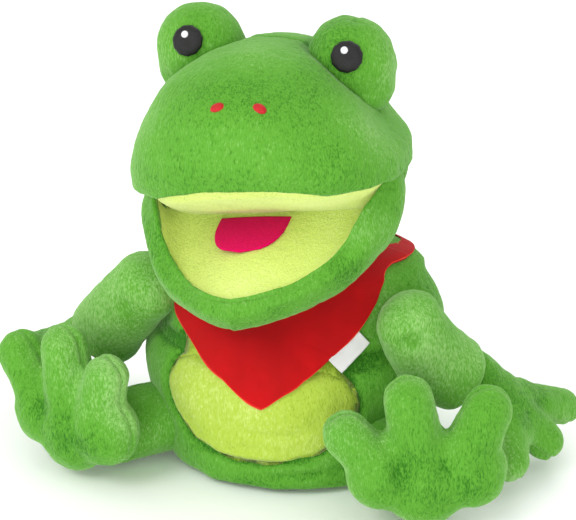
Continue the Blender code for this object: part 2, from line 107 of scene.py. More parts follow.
def ease(t):
    """From 0 to 1 as t does, with a soft start and end."""
    t = np.clip(t, 0, 1)
    return t * t * (3 - 2 * t)


def hill(value, middle, width):
    return np.exp(-(((value - middle) / width) ** 2))


def stack(*parts):
    """Points from their x, y and z."""
    return np.stack(np.broadcast_arrays(*parts), axis=-1).astype(float)


def grid(columns, rows):
    """Shares from 0 to 1 across and along a grid."""
    return np.meshgrid(np.linspace(0, 1, columns), np.linspace(0, 1, rows))


def round_grid(columns, rows):
    """Turns round a closed band, and shares from 0 to 1 up it."""
    return np.meshgrid(np.arange(columns) / columns, np.linspace(0, 1, rows))


def unit(vector):
    return vector / np.linalg.norm(vector)


UP, DOWN = np.array([0.0, 0.0, 1.0]), np.array([0.0, 0.0, -1.0])


def lattice(i, j, k, seed):
    """A repeatable number from -1 to 1 for each corner of a grid."""
    mixed = (i * 374761393 + j * 668265263 + k * 2246822519 + seed * 3266489917) & 0xFFFFFFFF
    mixed = ((mixed ^ (mixed >> 13)) * 1274126177) & 0xFFFFFFFF
    return ((mixed ^ (mixed >> 16)) & 0xFFFF) / 32767.5 - 1


def noise(points, size, seed=0, stretch=(1, 1, 1)):
    """Smooth noise from -1 to 1 with lumps of this size in millimetres."""
    q = points / (size * np.array(stretch, float))
    base = np.floor(q).astype(np.int64)
    f = ease(q - base)
    total = 0
    for corner in range(8):
        dx, dy, dz = corner & 1, corner >> 1 & 1, corner >> 2
        weight = (f[..., 0] if dx else 1 - f[..., 0]) * (f[..., 1] if dy else 1 - f[..., 1])
        weight = weight * (f[..., 2] if dz else 1 - f[..., 2])
        near = lattice(base[..., 0] + dx, base[..., 1] + dy, base[..., 2] + dz, seed)
        total = total + weight * near
    return total


def groove(points, path, width, depth, fade=0.0):
    """A valley along a line of points, as negative heights. It fades out over this share of each end."""
    path = np.array(path, float)
    best = np.full(points.shape[:-1], 1e9)
    along = np.zeros(points.shape[:-1])
    for n, (a, b) in enumerate(zip(path, path[1:])):
        ab = b - a
        t = np.clip(((points - a) @ ab) / max(ab @ ab, 1e-9), 0, 1)
        gap = np.linalg.norm(points - a - t[..., None] * ab, axis=-1)
        along = np.where(gap < best, (n + t) / (len(path) - 1), along)
        best = np.minimum(best, gap)
    strength = ease(np.minimum(along, 1 - along) / fade) if fade else 1.0
    return -depth * np.exp(-((best / width) ** 2)) * strength


# Materials

BASE_TONE = 0.42  # where a plush's middle colour sits between its dark and its pale one


def node_tree(name):
    material = bpy.data.materials.new(name)
    material.use_nodes = True
    tree = material.node_tree
    return material, tree, tree.nodes["Principled BSDF"]


def noise_node(tree, vector, scale, detail=3.0, roughness=0.55):
    made = tree.nodes.new("ShaderNodeTexNoise")
    made.inputs["Scale"].default_value = scale
    made.inputs["Detail"].default_value = detail
    made.inputs["Roughness"].default_value = roughness
    tree.links.new(vector, made.inputs["Vector"])
    return made.outputs["Fac"]


def mapped(tree, scale, turn=(0, 0, 0)):
    place = tree.nodes.new("ShaderNodeTexCoord")
    mapping = tree.nodes.new("ShaderNodeMapping")
    mapping.inputs["Scale"].default_value = scale
    mapping.inputs["Rotation"].default_value = turn
    tree.links.new(place.outputs["Object"], mapping.inputs["Vector"])
    return mapping.outputs["Vector"]


def maths(tree, operation, first, second, third=None):
    made = tree.nodes.new("ShaderNodeMath")
    made.operation = operation
    for socket, value in zip(made.inputs, (first, second, third)):
        if value is None:
            continue
        if isinstance(value, (int, float)):
            socket.default_value = value
        else:
            tree.links.new(value, socket)
    return made.outputs[0]


def ramp(tree, fac, stops):
    made = tree.nodes.new("ShaderNodeValToRGB")
    made.color_ramp.interpolation = "EASE"
    elements = made.color_ramp.elements
    while len(elements) < len(stops):
        elements.new(0.5)
    for element, (at, colour) in zip(elements, stops):
        element.position = at
        element.color = (*colour, 1)
    tree.links.new(fac, made.inputs["Fac"])
    return made.outputs["Color"]


def finish(shader, roughness, specular, sheen):
    shader.inputs["Roughness"].default_value = roughness
    shader.inputs["Specular IOR Level"].default_value = specular
    shader.inputs["Sheen Weight"].default_value = sheen


def bump(tree, height, distance, strength=1.0, normal=None):
    made = tree.nodes.new("ShaderNodeBump")
    made.inputs["Distance"].default_value = distance
    made.inputs["Strength"].default_value = strength
    tree.links.new(height, made.inputs["Height"])
    if normal is not None:
        tree.links.new(normal, made.inputs["Normal"])
    return made.outputs["Normal"]


def attribute(tree, name):
    made = tree.nodes.new("ShaderNodeAttribute")
    made.attribute_name = name
    return made.outputs["Fac"]


def plush(name, dark, base, pale, sheen_tint):
    """Short pile: pile patches, painted shade in the creases and painted sheen from the tone attribute, fine
    hairs that hang down, and a pale sheen.
    """
    material, tree, shader = node_tree(name)
    hairs = noise_node(tree, mapped(tree, (1.0, 1.0, 0.30), (0.2, 0.15, 0)), 1500, 2.0, 0.6)
    tufts = noise_node(tree, mapped(tree, (1.0, 1.0, 0.45), (-0.3, 0.25, 0)), 640, 3.0, 0.6)
    fine = maths(tree, "ADD", maths(tree, "MULTIPLY", hairs, 0.6), maths(tree, "MULTIPLY", tufts, 0.4))
    spread = maths(tree, "MULTIPLY_ADD", fine, 1.5, -0.75)  # as much above the tone as below it
    shade = maths(tree, "ADD", attribute(tree, "tone"), spread)
    colour = ramp(tree, shade, ((0.0, dark), (BASE_TONE, base), (1.0, pale)))
    tree.links.new(colour, shader.inputs["Base Color"])
    rough = bump(tree, tufts, 0.0012, 0.55)
    tree.links.new(bump(tree, hairs, 0.0006, 0.6, rough), shader.inputs["Normal"])
    finish(shader, 0.9, 0.15, 0.5)
    shader.inputs["Sheen Roughness"].default_value = 0.35
    shader.inputs["Sheen Tint"].default_value = (*sheen_tint, 1)
    return material


def woven(name, dark, light, thread, roughness=0.85, sheen=0.15, relief=0.00012, hem=None):
    """Plain weave of two crossing sets of threads, thread metres apart. hem is its colour where tone is 1."""
    material, tree, shader = node_tree(name)
    waves = []
    for turn in (0.6, -0.97):  # a right angle apart, on the bias
        wave = tree.nodes.new("ShaderNodeTexWave")
        wave.inputs["Scale"].default_value = 0.5 / thread
        wave.inputs["Distortion"].default_value = 0.6
        wave.inputs["Detail"].default_value = 1.0
        tree.links.new(mapped(tree, (1, 1, 1), (0, turn, 0)), wave.inputs["Vector"])
        waves.append(wave.outputs["Fac"])
    weave = maths(tree, "MULTIPLY", waves[0], waves[1])
    slubs = noise_node(tree, mapped(tree, (1, 1, 1)), 60, 4.0)
    shade = maths(tree, "ADD", maths(tree, "MULTIPLY", weave, 0.45), maths(tree, "MULTIPLY", slubs, 0.6))
    stops = ((0.1, dark), (0.8, light))
    if hem:
        lift = maths(tree, "MULTIPLY", attribute(tree, "tone"), 0.6)
        shade = maths(tree, "ADD", maths(tree, "MULTIPLY", shade, 0.6), lift)
        stops = ((0.06, dark), (0.5, light), (0.62, light), (0.85, hem))
    tree.links.new(ramp(tree, shade, stops), shader.inputs["Base Color"])
    tree.links.new(bump(tree, weave, relief, 0.8), shader.inputs["Normal"])
    finish(shader, roughness, 0.2, sheen)
    return material


def fuzzy(name, dark, light, scale, distance, roughness=0.9, sheen=0.3, level=0.2):
    """Felt, thread and other close fibres."""
    material, tree, shader = node_tree(name)
    fibres = noise_node(tree, mapped(tree, (1, 1, 1)), scale, 5.0, 0.65)
    tree.links.new(ramp(tree, fibres, ((0.3, dark), (0.7, light))), shader.inputs["Base Color"])
    tree.links.new(bump(tree, fibres, distance, 0.7), shader.inputs["Normal"])
    finish(shader, roughness, level, sheen)
    return material


GREEN_SHEEN, LIME_SHEEN = (0.6, 0.9, 0.45), (0.9, 0.95, 0.6)
GREEN = plush("green_plush", (0.024, 0.14, 0.007), (0.094, 0.31, 0.027), (0.28, 0.52, 0.16), GREEN_SHEEN)
LIME = plush("lime_plush", (0.20, 0.31, 0.02), (0.37, 0.51, 0.055), (0.58, 0.70, 0.22), LIME_SHEEN)
MOUTH = plush("mouth_plush", (0.46, 0.58, 0.12), (0.66, 0.78, 0.20), (0.84, 0.90, 0.46), LIME_SHEEN)
FELT = fuzzy("magenta_felt", (0.62, 0.0, 0.09), (0.82, 0.0, 0.14), 1400, 0.0004, 0.95, 0.05, 0.1)
COTTON = woven(
    "red_cotton", (0.36, 0.0, 0.001), (0.60, 0.0, 0.003), 0.0005, 0.85, 0.05, hem=(0.85, 0.16, 0.05)
)
RIBBON = woven("white_ribbon", (0.62, 0.60, 0.60), (0.86, 0.85, 0.85), 0.0004, 0.6, 0.1)
BLACK = fuzzy("black_thread", (0.003, 0.003, 0.003), (0.016, 0.016, 0.015), 2200, 0.0005, 0.45, 0.0, 0.3)
WHITE = fuzzy("white_thread", (0.7, 0.7, 0.72), (0.9, 0.9, 0.9), 2600, 0.0004, 0.5, 0.1, 0.4)
RED = fuzzy("nostril_thread", (0.38, 0.001, 0.003), (0.62, 0.004, 0.008), 2600, 0.0004, 0.55, 0.1, 0.4)
LINING = woven("white_lining", (0.55, 0.55, 0.53), (0.78, 0.78, 0.76), 0.0006)
FILLING = fuzzy("white_filling", (0.7, 0.7, 0.7), (0.9, 0.9, 0.9), 500, 0.002, 1.0, 0.6)
HOOK = fuzzy("hook_and_loop", (0.30, 0.0, 0.004), (0.5, 0.003, 0.01), 1500, 0.0005)

# Meshes


def pile(points):
    """The pile's own tufts, small enough to leave the shape alone."""
    return 0.24 * noise(points, 2.6, 5, (1, 1, 1.8)) + 0.16 * noise(points, 4.6, 6)


def tone_of(points, relief, lift=0.0):
    """Patches, pale where the pile lies one way, painted shade that darkens the valleys, and lift, added to
    the tone, which callers use for painted sheen.
    """
    patches = 0.20 * noise(points, 30, 11, (1, 1, 0.8)) + 0.04 * noise(points, 9, 12)
    # Painted shade: the tone darkens where the relief sinks, in creases, folds and dips.
    painted_valley_shade = 0.12 * np.minimum(relief, 0)
    return np.clip(BASE_TONE + lift + np.maximum(patches, -0.14) + painted_valley_shade, 0.0, 1.0)


def painted_sheen(lift):
    """The tone of a piece painted paler all over by lift, as painted sheen."""
    return lambda points, relief: tone_of(points, relief, lift)


def soft_piece(name, mesh, material, relief=None, mask=None, tufts=1.0, tone=None, local=None):
    """Moves a mesh along its normals by relief(points), adds the pile, and records the tone, by default with
    painted shade where the relief sinks. mask says where, and local holds the points in a paw's own
    coordinates."""
    points = points_of(mesh)
    normals = np.empty(points.size)
    mesh.vertex_normals.foreach_get("vector", normals)
    normals = normals.reshape(-1, 3)
    height = relief(points if local is None else local) if relief else np.zeros(len(points))
    shade = (tone or tone_of)(points, height)
    height = height + tufts * pile(points)
    if mask is not None:
        height = height * mask
    points = points + normals * height[:, None]
    mesh.vertices.foreach_set("co", in_frame(points).ravel())
    mesh.attributes.new("tone", "FLOAT", "POINT").data.foreach_set("value", shade.astype(np.float32))
    return placed(name, mesh, material)


def linked(name, data):
    made = bpy.data.objects.new(name, data)
    bpy.context.scene.collection.objects.link(made)
    return made


def placed(name, mesh, material):
    mesh.name = name
    mesh.materials.clear()
    mesh.materials.append(material)
    mesh.shade_smooth()
    return linked(name, mesh)


def lumps(*layers):
    """A relief of noise alone, from each layer's height and its noise's settings."""
    return lambda points: sum(height * noise(points, *settings) for height, *settings in layers)


def declare(piece, nodes, body=None):
    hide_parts(*([nodes] if isinstance(nodes, str) else nodes))
    if body:
        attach(piece, body)


def facing_out(mesh):
    made = bmesh.new()
    made.from_mesh(mesh)
    bmesh.ops.recalc_face_normals(made, faces=made.faces)
    made.to_mesh(mesh)
    made.free()
    return mesh


def shell(points, wrap=False, thickness=2.6, coarse=4, inward=None):
    """A closed sheet from a grid of points, with a fine outside, a coarser inside and a rim. Its mask is 1 on
    the outside. The grid has a multiple of coarse steps each way."""
    rows, columns = points.shape[:2]
    if inward is None:
        along = np.gradient(points, axis=0)
        ring = np.concatenate([points[:, -1:], points, points[:, :1]], axis=1) if wrap else points
        across = np.gradient(ring, axis=1)
        across = across[:, 1:-1] if wrap else across
        inward = np.cross(along, across)
        inward /= np.maximum(np.linalg.norm(inward, axis=-1, keepdims=True), 1e-9)
        if ((points - points.mean(axis=(0, 1))) * inward).sum() > 0:
            inward = -inward
    inner = (points + inward * thickness)[::coarse, ::coarse]
    faces = []

    def quads(start, r, c):
        for i in range(r - 1):
            for j in range(c if wrap else c - 1):
                k = (j + 1) % c
                low, high = start + i * c, start + (i + 1) * c
                faces.append((low + j, low + k, high + k, high + j))

    quads(0, rows, columns)
    base = rows * columns
    inner_rows, inner_columns = inner.shape[:2]
    quads(base, inner_rows, inner_columns)

    def rim(fine, thick):
        for n in range(len(thick) - 1):
            steps = fine[n * coarse:(n + 1) * coarse + 1]
            for a, b in zip(steps, steps[1:]):
                faces.append((thick[n], a, b))
            faces.append((thick[n], steps[-1], thick[n + 1]))

    for fine_row, inner_row in ((0, 0), (rows - 1, inner_rows - 1)):
        fine = [fine_row * columns + j for j in range(columns)]
        thick = [base + inner_row * inner_columns + j for j in range(inner_columns)]
        if wrap:
            fine.append(fine[0])
            thick.append(thick[0])
        rim(fine, thick)
    if not wrap:
        for fine_column, inner_column in ((0, 0), (columns - 1, inner_columns - 1)):
            rim(
                [i * columns + fine_column for i in range(rows)],
                [base + i * inner_columns + inner_column for i in range(inner_rows)],
            )
    mesh = bpy.data.meshes.new("shell")
    everything = np.concatenate([points.reshape(-1, 3), inner.reshape(-1, 3)])
    mesh.from_pydata(everything.tolist(), [], faces)
    mask = np.concatenate([np.ones(base), np.zeros(len(everything) - base)])
    return facing_out(mesh), mask


def points_of(mesh):
    points = np.empty(len(mesh.vertices) * 3)
    mesh.vertices.foreach_get("co", points)
    return points.reshape(-1, 3)


def balls(parts):
    """A mesh of overlapping balls, each with its centre and its three radii."""
    made = bmesh.new()
    for centre, radii in parts:
        matrix = Matrix.Translation(Vector(centre)) @ Matrix.Diagonal((*radii, 1))
        bmesh.ops.create_uvsphere(made, u_segments=20, v_segments=12, radius=1.0, matrix=matrix)
    mesh = bpy.data.meshes.new("balls")
    made.to_mesh(mesh)
    made.free()
    return mesh


def taken(maker):
    """An object's mesh with its modifiers applied. The object goes."""
    made = bpy.data.meshes.new_from_object(maker.evaluated_get(bpy.context.evaluated_depsgraph_get()))
    bpy.data.objects.remove(maker)
    return made


def evaluated(mesh, modifiers):
    """A copy of the mesh with these modifiers applied: (type, settings)."""
    maker = linked("maker", mesh)
    for kind, settings in modifiers:
        modifier = maker.modifiers.new(kind.lower(), kind)
        for key, value in settings.items():
            setattr(modifier, key, value)
    bpy.context.view_layer.update()
    return taken(maker)


def fused(mesh, voxel, relax=4, levels=1):
    """One closed skin round a mesh in millimetres."""
    return evaluated(mesh, (
        ("REMESH", {"mode": "VOXEL", "voxel_size": voxel}),
        ("SMOOTH", {"factor": 0.5, "iterations": relax}),
        ("SUBSURF", {"levels": levels, "render_levels": levels}),
    ))


def simulated(mesh, pressure, cap, frames=20):
    """Inflates a closed mesh as stuffed cloth, moving no point further than cap millimetres."""
    start = points_of(mesh)
    mesh.vertices.foreach_set("co", (start * MM).ravel())
    maker = linked("stuffed", mesh)
    cloth = maker.modifiers.new("cloth", "CLOTH")
    settings = cloth.settings
    settings.quality = 5
    settings.use_pressure = True
    settings.uniform_pressure_force = pressure
    settings.tension_stiffness = settings.compression_stiffness = 15
    settings.bending_stiffness = 2.0
    settings.effector_weights.gravity = 0
    scene = bpy.context.scene
    scene.frame_end = max(scene.frame_end, frames)
    for number in range(1, frames + 1):
        scene.frame_set(number)
    made = taken(maker)
    scene.frame_set(1)
    moved = points_of(made) / MM - start
    length = np.linalg.norm(moved, axis=1, keepdims=True)
    moved *= np.minimum(1, cap / np.maximum(length, 1e-6))
    made.vertices.foreach_set("co", (start + moved).ravel())
    return made


# Body

# Height, half width and half depth.
BODY_SECTIONS = (
    (0.4, 63, 65), (3.5, 68.5, 70.5), (8, 71.5, 72.5), (16, 74, 73), (32, 77.5, 72), (50, 79.5, 71.5),
    (66, 77, 66), (80, 74, 58), (94, 69, 47), (105, 60, 39.5), (112, 46, 35), (117, 35, 33),
)
BODY_TOP = 117
BELLY_LOW, BELLY_HIGH = 17.0, 104.0
# Height and half width.
BELLY_HALF_WIDTHS = (
    (17, 6), (19, 24), (24, 37), (36, 49), (50, 53), (62, 48),
    (68, 42), (74, 45), (86, 44), (98, 36), (104, 26),
)
CREASE_HEIGHT = 69.0  # where the belly folds over the lap


def body_surface(turn, height, proud=0.0):
    """The body's outside, or a surface this far out from it."""
    sizes = curve(BODY_SECTIONS, height)
    angle = 2 * math.pi * turn
    left_shoulder = 4.5 * hill(height, 85, 22) + 11 * hill(height, 111, 8)
    left_shoulder = left_shoulder * hill(turn, 0.30, 0.09) * ease((BODY_TOP - height) / 5)
    right_shoulder = 6 * hill(turn, 0.69, 0.08) * hill(height, 92, 13)
    reach = proud + left_shoulder + right_shoulder
    return stack((sizes[..., 0] + reach) * np.sin(angle), -(sizes[..., 1] + reach) * np.cos(angle), height)


def belly_distance(x, z):
    """How far inside the belly panel's edge a point of the front is."""
    z = np.asarray(z, float)
    width = height_on(BELLY_HALF_WIDTHS, z)
    slope = height_on(BELLY_HALF_WIDTHS, z + 0.5) - height_on(BELLY_HALF_WIDTHS, z - 0.5)
    inside = (width - np.abs(x)) / np.sqrt(1 + slope**2)
    return np.minimum(inside, np.minimum(z - BELLY_LOW, BELLY_HIGH - z))


def body_folds(points):
    """The fold over the lap, the lesser folds below it and under the right arm, and the stuffing's lumps."""
    x, y, z = points[..., 0], points[..., 1], points[..., 2]
    front = ease((20 - y) / 40)
    found = -4.2 * hill(z, CREASE_HEIGHT + 0.02 * np.abs(x), 4.5) * front
    found = found + groove(points, ((-30, -66, 22), (0, -71, 25.5), (34, -63, 27)), 2.2, 1.5, 0.4)
    found = found + groove(points, ((4, -72, 11), (30, -66, 12.5), (58, -46, 17)), 2.4, 2.2, 0.35)
    found = found + groove(points, ((-12, -73, 36), (14, -73, 34), (32, -68, 36)), 2.6, 1.1, 0.4)
    found = found + groove(points, ((-74, -12, 74), (-66, -34, 76), (-50, -45, 80)), 3.0, 3.0, 0.3)
    return found + 0.9 * noise(points, 24, 21) + 0.5 * noise(points, 11, 22)


def body_relief(points):
    """The green plush sinks behind the belly panel."""
    inside = belly_distance(points[..., 0], points[..., 2])
    in_front = points[..., 1] < 0
    sink = -4.0 * ease((inside + 2.4) / 4.0) * in_front
    return body_folds(points) + sink


def belly_relief(points):
    """The belly panel draws in at its edge seam, and has a short seam up its middle from below."""
    inside = belly_distance(points[..., 0], points[..., 2])
    seam = groove(points, ((1, -74, 17), (1, -76, 24), (0, -76, 33)), 1.5, 1.5, 0.2)
    return body_folds(points) - 3.2 * (1 - ease(inside / 5.0)) + 1.2 * ease(inside / 16) + seam


def build_body():
    low, high = 0.6, 116.0
    turn, up = round_grid(312, 77)
    mesh, mask = shell(body_surface(turn, low + (high - low) * up), wrap=True)
    back = soft_piece("body_skin", mesh, GREEN, body_relief, mask)
    declare(back, "body_shell", "body")


def build_belly():
    low, high = BELLY_LOW + 0.6, BELLY_HIGH - 0.8
    across, up = grid(77, 65)
    height = low + (high - low) * up
    x = (2 * across - 1) * (height_on(BELLY_HALF_WIDTHS, height) - 0.3)
    turn = np.arcsin(np.clip(x / height_on(BODY_SECTIONS, height), -0.95, 0.95)) / (2 * math.pi)
    mesh, mask = shell(body_surface(turn, height), thickness=2.2)
    belly = soft_piece("belly_panel_skin", mesh, LIME, belly_relief, mask)
    declare(belly, "belly_panel", "body")


def build_base():
    """The ring that the puppet sits on, round the opening for the hand."""
    opening = 29.4
    turn, out = round_grid(240, 17)
    angle = 2 * math.pi * turn
    height = 0.35 + 0.5 * ease((out - 0.85) / 0.15)
    ring = stack((opening + 33.2 * out) * np.sin(angle), -(opening + 35.2 * out) * np.cos(angle), height)
    mesh, mask = shell(ring, wrap=True, inward=UP)
    base = soft_piece("base_skin", mesh, GREEN, None, mask * 0.4, 0.8)
    declare(base, "base_panel", "body")


def build_neck():
    """The plush tube between the body and the head, gathered into upright folds."""
    turn, up = round_grid(160, 25)
    angle = 2 * math.pi * turn
    neck = stack((37 - 5 * up) * np.sin(angle), -(35 - 4 * up) * np.cos(angle), 110 + 32 * up)
    mesh, mask = shell(neck, wrap=True, thickness=2.0)
    sleeve = soft_piece("neck_skin", mesh, GREEN, lumps((0.9, 7, 31, (2.5, 2.5, 1)), (0.6, 12, 32)), mask)
    declare(sleeve, "neck_sleeve", "neck")


# Head

# The head is a fan of half-round slices that pivot on the mouth's fold line. These give half a slice's width
# and its reach by its angle, from the upper lip in front to the nape.
HEAD_HALF_WIDTH = ((26, 66.5), (50, 69.5), (90, 71), (120, 70), (150, 66), (200, 58))
HEAD_REACH = (
    (26, 71), (38, 78.5), (55, 88.5), (72, 92.5), (90, 91.5),
    (115, 91.5), (140, 86.5), (165, 77), (190, 72), (200, 70),
)
HEAD_FROM, HEAD_TO = 28.5, 187
SQUARED = 0.86  # under 1, so that a slice is fuller than an ellipse
ROLL = 0.14  # the soft mouth sags towards the frog's right


def rolled(points):
    """The frog's left side of the muzzle and jaw sits higher, and the crown stays level."""
    amount = ROLL * (1 - ease((points[..., 2] - 165) / 45)) * ease((30 - points[..., 1]) / 50)
    lean = points[..., 0] + 1.3 * np.maximum(-points[..., 0] - 42, 0)
    made = points.copy()
    made[..., 2] = points[..., 2] + amount * lean
    return made


def narrowed(points):
    """The back of the crown draws in behind the eyes."""
    amount = 0.12 * ease((points[..., 2] - 168) / 28) * ease((points[..., 1] + 72) / 40)
    made = points.copy()
    made[..., 0] = points[..., 0] * (1 - amount)
    return made


def clam(angle, slant, proud=0.0):
    """A point on one of the head's slices. slant runs from -90 to 90 degrees, from side to side."""
    reach = height_on(HEAD_REACH, angle) + proud
    side, ahead = np.sin(np.radians(slant)), np.cos(np.radians(slant))
    x = (height_on(HEAD_HALF_WIDTH, angle) + proud) * np.sign(side) * np.abs(side) ** SQUARED
    out = reach * np.maximum(ahead, 0) ** SQUARED
    tilt = np.radians(angle)
    return stack(x, FOLD[1] - out * np.cos(tilt), FOLD[2] + out * np.sin(tilt))


EYE_BUMPS = {"left": (36.8, -27.0, 218.0), "right": (-40.5, -27.0, 219.5)}
EYE_BUMP_RADIUS = 22.5
EYE_FACINGS = {"left": (0.19, -0.92, 0.34), "right": (0.05, -0.93, 0.34)}
# How far forward, and the height of the upper lip's edge there.
LIP_HEIGHTS = ((-100, 168), (-92, 165), (-75, 162), (-56, 161), (-38, 161), (-20, 161), (0, 161))


def head_relief(points):
    """The dips round the eye bumps, the crown's seam, the snout's swell and its dent, and the cheeks."""
    x, y, z = points[..., 0], points[..., 1], points[..., 2]
    found = 1.1 * noise(points, 34, 41) + 0.45 * noise(points, 13, 42)
    for centre in EYE_BUMPS.values():
        gap = np.linalg.norm(points - np.array(centre), axis=-1) - EYE_BUMP_RADIUS
        found = found - 1.6 * hill(gap, 0, 3.2) - 3.0 * ease(-gap / 4)
    found = found + groove(points, CROWN, 1.5, 1.0)
    found = found + 3.0 * hill(x, 0, 26) * hill(z, 198, 20) * (y < -60)
    found = found - 1.3 * hill(x, 0, 9) * hill(z, 190, 16) * (y < -70)
    for sign in (1, -1):
        found = found + 1.5 * hill(x, 44 * sign, 17) * hill(z, 176, 13) * (y < -50)
    return found


CROWN = narrowed(clam(np.full(33, 95.0), np.linspace(-88, 88, 33)))


def build_head():
    across, along = grid(185, 173)
    quarter = 0.985 * math.pi / 2
    crowded = np.sin((2 * across - 1) * quarter) / math.sin(quarter)
    slant = 90 * (0.55 * crowded + 0.45 * (2 * across - 1))  # the grid is closer towards the sides
    slant = np.clip(slant, -89.2, 89.2)
    angle = HEAD_FROM + (HEAD_TO - HEAD_FROM) * along
    lip = 1 - ease((angle - HEAD_FROM) / 9.0)
    points = clam(angle, slant, -3.2 * lip**2)
    below = np.maximum(height_on(LIP_HEIGHTS, points[..., 1]) - points[..., 2], 0)
    below = below * ease((-2 - points[..., 1]) / 18)
    in_front = ease((-40 - points[..., 1]) / 16)
    points[..., 2] += below * 0.85 * in_front
    points[..., 0] -= np.sign(points[..., 0]) * np.minimum(below * 0.9, 7.0)
    points[..., 1] += np.minimum(below * 0.4, 4.0) * in_front
    mesh, mask = shell(rolled(narrowed(points)), thickness=2.8)
    head = soft_piece("head_skin", mesh, GREEN, head_relief, mask)
    declare(head, ("head_front", "head_back", "head_filling"), "head")
    for side, sign in SIDES:
        build_eye(side, sign)
    for side, sign in SIDES:
        build_nostril(side, sign)
    build_palate()


def build_eye(side, sign):
    flip = np.array((sign, 1, 1))
    centre = np.array(EYE_BUMPS[side])
    parts = [
        (centre, (EYE_BUMP_RADIUS, 21.5, EYE_BUMP_RADIUS)),
        (centre + np.array((1.5, 2, -10)) * flip, (20.5, 19, 19)),
        (centre + np.array((0, 7, -4)) * flip, (21.5, 20, 20)),
    ]
    mesh = fused(balls(parts), 2.6, 6, 1)
    seam = np.array(((0, 21, 4), (2, 10, 20.5), (4, -8, 21.5), (12, -17, 12), (20, -14, -4))) * flip

    def bump_relief(points):
        return groove(points - centre, seam, 1.3, 0.48) + 0.6 * noise(points, 10, 51)

    bump_piece = soft_piece(f"eye_bump_{side}_skin", mesh, GREEN, bump_relief)
    declare(bump_piece, f"eye_bump_{side}", "head")
    facing = unit(np.array(EYE_FACINGS[side]))
    disc = embroidered(centre, facing, EYE_BUMP_RADIUS + 0.1, EYE_BUMP_RADIUS + 1.4, 19.3, 8, 0.16)
    eye = soft_piece(f"eye_{side}_embroidery", disc, BLACK, tufts=0.0)
    declare(eye, f"eye_{side}", "head")
    glint = unit(facing + np.array((-0.05, 0, 0.13)))
    disc = embroidered(centre, glint, EYE_BUMP_RADIUS + 0.9, EYE_BUMP_RADIUS + 2.1, 4.6, 3, 0.12)
    light = soft_piece(f"eye_highlight_{side}_embroidery", disc, WHITE, tufts=0.0)
    declare(light, f"eye_highlight_{side}", "head")


def embroidered(centre, facing, inner, outer, half_angle, rings, relief, long=(1.0, 1.0), lean=0.0):
    """A domed patch of close stitches on a ball, with radial thread ridges and a ragged edge. inner and outer
    are the radii of its underside and its top, long is its stretch across and up, and lean turns that."""
    across = unit(np.cross(facing, UP))
    up = np.cross(across, facing)
    across, up = (
        across * math.cos(lean) + up * math.sin(lean),
        -across * math.sin(lean) + up * math.cos(lean),
    )
    segments = 72
    turn = 2 * math.pi * np.arange(segments) / segments
    ragged = 1 + 0.018 * np.sin(turn * 36) + 0.02 * np.sin(turn * 11 + 1)
    verts = [centre + facing * outer]
    faces = []

    def ring(tilt, radius):
        start = len(verts)
        for n, t in enumerate(turn):
            angle = math.radians(tilt) * ragged[n]
            side = across * math.cos(t) * long[0] + up * math.sin(t) * long[1]
            direction = unit(facing + side * math.tan(angle))
            ridge = relief * math.sin(36 * t + tilt) * min(1, tilt / half_angle + 0.2)
            verts.append(centre + direction * (radius + ridge))
        return start

    last = None
    for k in range(1, rings + 1):
        share = k / rings
        radius = outer - (outer - inner) * 0.75 * share**6
        start = ring(half_angle * share, radius)
        for n in range(segments):
            m = (n + 1) % segments
            outside = (start + n, start + m)
            faces.append((0, *outside) if last is None else (last + n, *outside, last + m))
        last = start
    start = ring(half_angle * 0.98, inner - 0.8)
    for n in range(segments):
        m = (n + 1) % segments
        faces.append((last + n, start + n, start + m, last + m))
    verts.append(centre + facing * (inner - 0.8))
    for n in range(segments):
        faces.append((start + n, len(verts) - 1, start + (n + 1) % segments))
    mesh = bpy.data.meshes.new("embroidery")
    mesh.from_pydata([list(v) for v in verts], [], faces)
    return facing_out(mesh)


def build_nostril(side, sign):
    slant = np.array(5.9 * sign + 1.3)  # the pair sits a little to the frog's left
    angle = np.array(53.0 + 0.5 * sign)
    on = clam(angle, slant)
    normal = unit(clam(angle, slant, 1.0) - on)
    ball = on - normal * 12
    disc = embroidered(ball, normal, 14.2, 15.6, 14.5, 4, 0.10, (1.0, 0.62), math.radians(34 * sign))
    mesh = soft_piece(f"nostril_{side}_embroidery", disc, RED, tufts=0.0)
    declare(mesh, f"nostril_{side}", "head")


# Mouth

# The angle round the muzzle, then how far sideways, forward and up, for the upper lip, the lower lip and the
# jaw's outside from its widest line down to its underside.
LIP = (
    (0, 0, -98, 171), (30, 32, -90, 167.5), (50, 49, -74, 163.5),
    (70, 59, -56, 162), (90, 62.5, -38, 161), (118, 59, -14, 161),
)
LOWER_LIP = (
    (0, 0, -98, 116), (14, 14, -92, 116.5), (30, 29, -80, 119), (48, 44.5, -67, 130),
    (65, 54, -58, 147), (90, 62, -38, 161), (118, 58, -14, 161),
)
JAW_WALL = (
    (0, 0, -101, 107), (14, 15, -95, 108), (30, 33, -83, 112), (48, 51.5, -67, 121),
    (65, 62, -54, 134), (90, 68, -36, 142), (118, 57, -6, 147),
)
JAW_EDGE = (
    (0, 0, -91, 97), (14, 14, -85, 98), (30, 30, -74, 101), (48, 47, -60, 108),
    (65, 57, -48, 118), (90, 61, -33, 126), (118, 48, -3, 135),
)
JAW_UNDER = (
    (0, 0, -70, 97), (14, 10, -67, 98), (30, 22, -58, 101), (48, 34, -48, 107),
    (65, 43, -39, 113), (90, 48, -27, 119), (118, 39, -2, 129),
)
MOUTH_SPAN = 236  # degrees round the muzzle, from corner to corner
JAW_STRETCH = ((0, -14, 152), (0, -50, 128))  # two points behind the mouth's corners


def ring_point(table, turn):
    """A point on one of the rings round the muzzle, at this angle from its middle."""
    at = curve(table, np.abs(turn))
    at[..., 0] = at[..., 0] * np.sign(turn)
    return at


